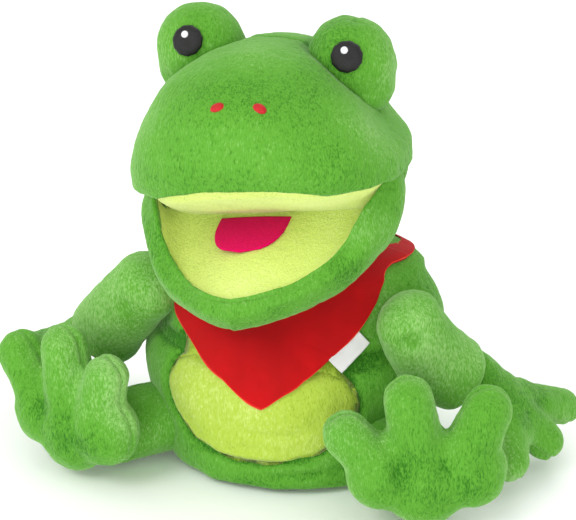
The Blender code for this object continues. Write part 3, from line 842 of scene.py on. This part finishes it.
def through(rings, v):
    """Points along Catmull-Rom curves through these arrays of points, v from 0 to 1."""
    spots = v * (len(rings) - 1)
    k = np.clip(np.floor(spots).astype(int), 0, len(rings) - 2)
    t = (spots - k)[..., None]
    stacked = np.stack(rings)
    r, c = np.indices(v.shape)
    p0, p1 = stacked[np.maximum(k - 1, 0), r, c], stacked[k, r, c]
    p2, p3 = stacked[k + 1, r, c], stacked[np.minimum(k + 2, len(rings) - 1), r, c]
    return spline(p0, p1, p2, p3, t)


def build_palate():
    """The upper lining, from the lip back to the fold line."""
    across, along = grid(97, 49)
    turn = MOUTH_SPAN * (across - 0.5)
    edge = ring_point(LIP, turn) - (0, 0, 1.5)
    inner = edge * (0.98, 1, 1) + (0, 1.5, 0)
    fold = stack(edge[..., 0] * 0.92, FOLD[1] + 5, FOLD[2] + 1.0)
    share = along[..., None]
    points = inner * (1 - share) + fold * share
    points[..., 2] -= 1.5 * np.sin(np.clip(along, 0, 1) * math.pi) ** 0.7
    points[..., 2] -= 2.2 * ease(along / 0.06) * (1 - along)
    mesh, mask = shell(rolled(points), thickness=2.2, inward=UP)
    palate = soft_piece("mouth_lining_upper_skin", mesh, MOUTH, lumps((0.5, 12, 61)), mask, 0.7)
    declare(palate, ("mouth_lining_upper", "mouth_board_upper"), "head")


def build_jaw():
    """The lower lip's roll and the chin, from inside the mouth to under the jaw."""
    across, along = grid(217, 49)
    turn = MOUTH_SPAN * (across - 0.5)
    top = ring_point(LOWER_LIP, turn)
    wall, edge, under = (ring_point(table, turn) for table in (JAW_WALL, JAW_EDGE, JAW_UNDER))
    inner = top * (0.97, 0.97, 1) - (0, 0, 5)
    roll = wall * 0.42 + top * 0.58
    roll[..., 2] = top[..., 2] - 1.0
    rings = [inner, top + (0, 0, 0.6), roll, wall, edge, under]
    mesh, mask = shell(rolled(through(rings, along)), thickness=2.4)
    skin = soft_piece("jaw_skin", mesh, GREEN, lumps((0.8, 22, 71), (0.45, 10, 72)), mask)
    declare(skin, ("chin_panel", "chin_filling"))
    blended(skin, "head", "jaw", *JAW_STRETCH)


def build_lower_lining():
    """The lining of the jaw, from its lip back to the fold line, with a hollow each side of the tongue."""
    across, along = grid(137, 65)
    turn = MOUTH_SPAN * (across - 0.5)
    edge = ring_point(LOWER_LIP, turn) * (0.985, 0.985, 1) - (0, 0, 0.6)
    fold = stack(edge[..., 0] * 0.9, FOLD[1] + 4, FOLD[2] + 3.0)
    share = along[..., None]
    points = edge * (1 - share) + fold * share
    points[..., 2] -= 5.0 * np.sin(along * math.pi) * ease(np.abs(turn) / 60)
    points[..., 2] -= 1.5 * ease(along / 0.05) * (1 - along)
    mesh, mask = shell(rolled(points), thickness=2.0, inward=DOWN)
    lining = soft_piece("mouth_lining_lower_skin", mesh, MOUTH, lumps((0.35, 14, 81)), mask, 0.6)
    declare(lining, ("mouth_lining_lower", "mouth_board_lower"))
    blended(lining, "head", "jaw", *JAW_STRETCH)


def build_tongue():
    """A felt tongue that lies on the lower lining and slopes down to its round tip."""
    aside, half_width, length, slope = -8.0, 18.5, 27.0, math.radians(18)
    across, along = grid(61, 41)
    outline = half_width * (1 - along**3.0) ** 0.45
    x = (2 * across - 1) * np.maximum(outline, 0.4)
    out = 2 + length * along
    height = 1.4 - out * math.sin(slope) - 0.6 * along**2 + 0.5 * np.cos(x / 12)
    points = stack(x + aside, FOLD[1] - out * math.cos(slope), FOLD[2] + height)
    mesh, _ = shell(rolled(points), thickness=1.4, inward=DOWN)
    tongue = soft_piece("tongue_felt", mesh, FELT, tufts=0.0)
    declare(tongue, "tongue", "jaw")


# Limbs


def blended(piece, a, b, start, end):
    """Bakes a piece's place into its mesh. a, b, start and end are not used."""
    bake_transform(piece)


def rounded(length, over):
    """How far a tube has opened at this length from its end, when the end is rounded over this length."""
    return np.sqrt(np.clip(1 - (1 - np.clip(length / over, 0, 1)) ** 2, 0.0004, 1))


def tube(path, radii, segments, rings):
    """A closed stuffed tube along a smooth path, in millimetres."""
    path = np.array(path, float)
    at = np.linspace(0, 1, len(path))
    found = curve(np.column_stack([at, path, np.array(radii, float)]), np.linspace(0, 1, rings))
    centres, radius = found[:, :3], found[:, 3:]
    tangent = np.gradient(centres, axis=0)
    tangent /= np.linalg.norm(tangent, axis=1, keepdims=True)
    side = np.cross(tangent, (0.13, 0.2, 0.97))  # no limb runs this way
    side /= np.linalg.norm(side, axis=1, keepdims=True)
    up = np.cross(side, tangent)
    length = np.concatenate([[0], np.cumsum(np.linalg.norm(np.diff(centres, axis=0), axis=1))])
    taper = rounded(length, radius[0, 0] * 0.9) * rounded(length[-1] - length, radius[-1, 0] * 0.55)
    angle = 2 * math.pi * np.arange(segments)[None, :, None] / segments
    radius = (radius * taper[:, None])[:, None]
    points = centres[:, None] + radius * (side[:, None] * np.cos(angle) + up[:, None] * np.sin(angle))
    faces = []
    for i in range(rings - 1):
        low, high = i * segments, (i + 1) * segments
        for j in range(segments):
            k = (j + 1) % segments
            faces.append((low + j, low + k, high + k, high + j))
    flat = points.reshape(-1, 3).tolist()
    for ring, centre in ((0, centres[0]), (rings - 1, centres[-1])):
        flat.append(list(centre))
        for j in range(segments):
            faces.append((ring * segments + j, ring * segments + (j + 1) % segments, len(flat) - 1))
    mesh = bpy.data.meshes.new("tube")
    mesh.from_pydata(flat, [], faces)
    return facing_out(mesh)


def frame_of(origin, lateral, normal):
    """A matrix that puts a paw's X along lateral, its -Y along normal and its Z up between them."""
    lateral = Vector(lateral).normalized()
    back = -Vector(normal).normalized()
    up = lateral.cross(back).normalized()
    back = up.cross(lateral)
    return Matrix.Translation(Vector(origin)) @ Matrix((lateral, back, up)).transposed().to_4x4()


def paw_mesh(fingers, palm, thickness, voxel):
    """A flat paw of fused balls, in its own coordinates: fingers up, the palm's heel at the origin."""
    parts = []
    for tip, root, radius in fingers:
        for k in range(5):
            t = k / 4
            r = radius * (1 + 0.025 * k)
            parts.append(((tip[0] * (1 - t) + root[0] * t, 0, tip[1] * (1 - t) + root[1] * t), r))
    parts += [((place[0], 0, place[1]), radius) for place, radius in palm]
    return fused(balls([(centre, (r, min(r, thickness), r)) for centre, r in parts]), voxel, 3, 0)


# Each finger's tip, its root and its radius, then the palm's balls and their radii, all across and up.
FOOT_TOES = {
    "left": (((-39, 49), (-22, 31), 12.0), ((-9, 67), (-4, 40), 13.0), ((29, 61), (20, 36), 12.5)),
    "right": (((-39, 56), (-23, 35), 12.5), ((-6, 68), (-3, 40), 13.0), ((23, 59), (17, 36), 12.0)),
}
FOOT_PALM = (((0, 27), 25.5), ((-21, 29), 19.5), ((21, 29), 19.5), ((0, 22), 21.5))
HAND_FINGERS = {
    "left": (((-30, 31), (-13, 22), 10.0), ((3, 47), (1, 28), 10.5), ((34, 50), (15, 28), 10.0)),
    "right": (((-34, 50), (-15, 28), 10.0), ((-3, 47), (-1, 28), 10.5), ((30, 33), (13, 22), 10.0)),
}
HAND_PALM = (
    ((0, 21), 17.5), ((-9, 24), 15.0), ((9, 24), 15.0), ((0, 10), 16.0), ((0, -3), 14.0), ((0, -10), 11.0),
)
# Half a paw's thickness. The hand's creases and rim are placed by a little less.
FOOT_THICKNESS = 15.5
HAND_THICKNESS, HAND_RIM_THICKNESS = 10.5, 10.0


def paw(name, mesh, place, relief, thickness):
    """Puts a paw in its place. The relief works in its own coordinates, and the tone is painted paler towards
    the rim, as painted sheen.
    """
    mesh = evaluated(mesh, (("SUBSURF", {"levels": 1, "render_levels": 1}),))
    local = points_of(mesh)
    mesh.transform(place)
    if place.determinant() < 0:
        mesh.flip_normals()
    rim = 1 - np.clip(np.abs(local[:, 1]) / thickness, 0, 1)

    # Painted sheen: paler towards the seam round the rim, and the middle of each face is painted a little
    # darker.
    def rim_sheen_tone(points, height):
        return tone_of(points, height, 0.34 * rim - 0.08)

    return soft_piece(name, facing_out(mesh), GREEN, relief, local=local, tone=rim_sheen_tone)


def paw_relief(fingers, thickness):
    """The seam round a paw's edge, and the creases between its fingers, in the paw's own coordinates."""
    creases = []
    for (tip, root, _), (next_tip, next_root, _) in zip(fingers, fingers[1:]):
        between = (np.array(root) + next_root) / 2
        outer = between * 0.45 + (np.array(tip) + next_tip) / 2 * 0.55
        inner = between * 0.72
        for front in (-0.9, 0.9):
            creases.append([(x, thickness * front, z) for x, z in (outer, between, inner)])

    def relief(local):
        seam = -1.3 * hill(local[..., 1], 0, 1.5)
        found = seam + 0.6 * noise(local, 13, 91) + 0.3 * noise(local, 6, 92)
        for crease in creases:
            found = found + groove(local, crease, thickness * 0.33, thickness * 0.11, 0.5)
        return found
    return relief


FOOT_PLACE = np.array((92.5, -78.0, 1.8))
FOOT_TURN = (0.94, 0.34)  # the cosine and sine of how far a sole turns out


def build_leg(side, sign):
    flip = np.array((sign, 1, 1))
    hip = joint_place(f"hip_{side}")
    ankle = joint_place(f"ankle_{side}")
    along = (ankle - hip) / np.linalg.norm(ankle - hip)
    start = hip + np.array((-24, 18, 3)) * flip
    end = ankle + along * 9
    path = (start, hip + (0, 0, 2), (hip + ankle) / 2 + (0, 0, 1), ankle, end)
    mesh = tube(path, (19, 18.6, 18.2, 18, 17), 72, 52)
    leg = soft_piece(f"leg_{side}_skin", mesh, GREEN, lumps((0.9, 15, 101), (0.5, 7, 102)))
    declare(leg, f"leg_{side}")
    blended(leg, "body", f"leg_{side}", hip - along * 4, hip + along * 8)
    ahead, aside = FOOT_TURN
    place = frame_of(FOOT_PLACE * flip, (ahead, aside * sign, 0), (aside * sign, -ahead, 0))
    mesh = simulated(paw_mesh(FOOT_TOES[side], FOOT_PALM, FOOT_THICKNESS, 2.5), 2.0, 2.0)
    relief = paw_relief(FOOT_TOES[side], FOOT_THICKNESS)
    foot = paw(f"foot_{side}_skin", mesh, place, relief, FOOT_THICKNESS)
    nodes = (f"foot_sole_{side}", f"foot_instep_{side}")
    declare(foot, nodes, f"foot_{side}")


# The arm's path and radii, and the hand's two directions and its shift from the wrist joint.
ARM_REST = {
    "left": {
        "path": ((67, -44, 104), (73, -38, 90), (82, -26, 67), (98, -13, 51)),
        "radii": (14.5, 17, 19.5, 18.5),
        "lateral": (0.028, 0.957, 0.287), "normal": (0.78, -0.2, 0.59), "shift": (0, 0, 2.5),
    },
    "right": {
        "path": ((-58, -41, 104), (-71, -35, 90), (-89, -26, 70), (-105, -17, 49)),
        "radii": (16.5, 18, 19.5, 21),
        "lateral": (0.276, -0.925, -0.154), "normal": (-0.62, -0.3, 0.69), "shift": (2, 0, 7),
    },
}


def build_arm(side, sign):
    rest = ARM_REST[side]
    shoulder = joint_place(f"shoulder_{side}")
    wrist = joint_place(f"wrist_{side}")
    along = (wrist - shoulder) / np.linalg.norm(wrist - shoulder)
    mesh = tube(rest["path"], rest["radii"], 84, 64)

    def arm_relief(points):
        under = groove(points, (shoulder + (0, -16, -10), shoulder + (10 * sign, -14, -18)), 5, 1.6, 0.3)
        return under + 1.0 * noise(points, 19, 111) + 0.5 * noise(points, 8, 112)

    # Painted sheen: the arm's tone is lifted paler all over.
    arm = soft_piece(f"arm_{side}_skin", mesh, GREEN, arm_relief, tone=painted_sheen(0.22))
    declare(arm, f"arm_{side}")
    blended(arm, "body", f"arm_{side}", shoulder - along * 8, shoulder + along * 10)
    hanging = Matrix.Scale(-1, 4, Vector(UP))
    place = frame_of(wrist + rest["shift"], rest["lateral"], rest["normal"]) @ hanging
    mesh = simulated(paw_mesh(HAND_FINGERS[side], HAND_PALM, HAND_THICKNESS, 2.6), 2.0, 1.6)
    relief = paw_relief(HAND_FINGERS[side], HAND_RIM_THICKNESS)
    hand = paw(f"hand_{side}_skin", mesh, place, relief, HAND_RIM_THICKNESS)
    nodes = (f"hand_back_{side}", f"hand_palm_{side}")
    declare(hand, nodes, f"hand_{side}")


# Neckerchief

KERCHIEF_TURN = 0.013  # its point hangs a little to the frog's left
# The angle round the neck from that point, and the height of the cloth's lower and upper edges.
KERCHIEF_LOW_LEFT = (
    (0, 49), (7, 56), (14, 63.5), (28, 78.5), (45, 96.5),
    (56, 106.5), (72, 110.5), (115, 110.5), (135, 106), (180, 104),
)
KERCHIEF_LOW_RIGHT = ((0, 49), (15, 60.5), (45, 83), (62, 96), (78, 104), (110, 106), (180, 104))
KERCHIEF_HIGH = ((0, 98), (30, 104), (56, 112.5), (80, 114.5), (110, 113), (180, 112))
KERCHIEF_PROUD = 3.4  # off the plush
LABEL_FROM, LABEL_WIDTH = 22.5, 11  # degrees round the neck


def kerchief_edges(turn):
    away = ((turn - KERCHIEF_TURN + 0.5) % 1.0 - 0.5) * 360
    left, right = (height_on(table, np.abs(away)) for table in (KERCHIEF_LOW_LEFT, KERCHIEF_LOW_RIGHT))
    return np.where(away > 0, left, right), height_on(KERCHIEF_HIGH, np.abs(away))


def build_kerchief():
    around = 300
    turn, up = round_grid(around, 33)
    low, high = kerchief_edges(turn)
    points = body_surface(turn, low + (high - low) * up, KERCHIEF_PROUD)
    mesh, _ = shell(points, wrap=True, thickness=0.7, coarse=2)

    def folds(points):
        x, z = points[..., 0], points[..., 2]
        front = points[..., 1] < 0
        found = 0.5 * noise(points, 17, 121, (1.6, 1, 1))
        return found + front * 0.5 * np.sin(z / 5.5 + np.abs(x) / 9)

    hem = np.zeros(len(mesh.vertices))
    hem[:around] = 1.0
    hem[up.size - around:up.size] = 1.0
    cloth = soft_piece("bandana_cloth", mesh, COTTON, folds, tufts=0.0, tone=lambda points, relief: hem)
    declare(cloth, "bandana", "body")
    build_label()


def build_label():
    """The blank ribbon sewn under the neckerchief's edge on the frog's left."""
    along, out = grid(33, 17)
    away = LABEL_FROM + LABEL_WIDTH * along
    turn = (away + 5.5 * out) / 360 + KERCHIEF_TURN
    height = height_on(KERCHIEF_LOW_LEFT, away) + 2.0 - 6.5 * out
    mesh, _ = shell(body_surface(turn, height, 2.6 + 1.6 * ease(out * 3)), thickness=0.8)
    label = soft_piece("bandana_label_ribbon", mesh, RIBBON, tufts=0.0)
    declare(label, "bandana_label", "body")
    return label


# The pieces that keep their frame shapes, and the stage

CAMERA_TURN, CAMERA_RISE = math.radians(18.5), math.radians(20.5)  # to the frog's left, and above the floor
CAMERA_TARGET = (-4.0, 0.0, 101.0)
CAMERA_AWAY = 1.0  # metres
CAMERA_LENS = 119.375
# Name, place, width and power.
LIGHTS = (
    ("key", (-0.6, -1.3, 1.3), 0.9, 11),
    ("front", (0.35, -1.6, 0.35), 0.8, 9),
    ("rim", (0.3, 1.2, 1.2), 0.9, 6),
)
LIGHTS_AIM = (0.0, 0.0, 0.1)


def carry_over():
    for name, look in (("body_filling", FILLING), ("hand_liner", LINING), ("bandana_fastener", HOOK)):
        for slot in frame["nodes"][name].material_slots:
            slot.material = look


def add_camera():
    level = math.cos(CAMERA_RISE)
    back = np.array((math.sin(CAMERA_TURN) * level, -math.cos(CAMERA_TURN) * level, math.sin(CAMERA_RISE)))
    data = bpy.data.cameras.new("camera")
    data.sensor_width = 36.0
    data.lens = CAMERA_LENS
    data.clip_start = 0.01
    camera = linked("camera", data)
    camera.location = in_frame(CAMERA_TARGET) + back * CAMERA_AWAY
    camera.rotation_euler = Vector(back).to_track_quat("Z", "Y").to_euler()
    bpy.context.scene.camera = camera


def add_light(name, place, width, power):
    data = bpy.data.lights.new(name, "AREA")
    data.shape = "DISK"
    data.size = width
    data.energy = power
    light = linked(name, data)
    light.location = place
    light.rotation_euler = (Vector(place) - Vector(LIGHTS_AIM)).to_track_quat("Z", "Y").to_euler()


def add_stage():
    made = bmesh.new()
    bmesh.ops.create_grid(made, x_segments=2, y_segments=2, size=6.0)
    mesh = bpy.data.meshes.new("floor")
    made.to_mesh(mesh)
    made.free()
    material, _, shader = node_tree("white_floor")
    shader.inputs["Base Color"].default_value = (1.0, 1.0, 1.0, 1)
    shader.inputs["Roughness"].default_value = 0.9
    floor = placed("floor", mesh, material)
    world = bpy.data.worlds.new("studio")
    bpy.context.scene.world = world
    world.use_nodes = True
    background = world.node_tree.nodes["Background"].inputs
    background["Color"].default_value = (1, 1, 1, 1)
    background["Strength"].default_value = 1.0
    bpy.context.scene.view_settings.view_transform = "Standard"
    for light in LIGHTS:
        add_light(*light)


add_camera()
add_stage()
carry_over()
build_body()
build_belly()
build_base()
build_neck()
build_head()
build_jaw()
build_lower_lining()
build_tongue()
for side, sign in SIDES:
    build_arm(side, sign)
    build_leg(side, sign)
build_kerchief()
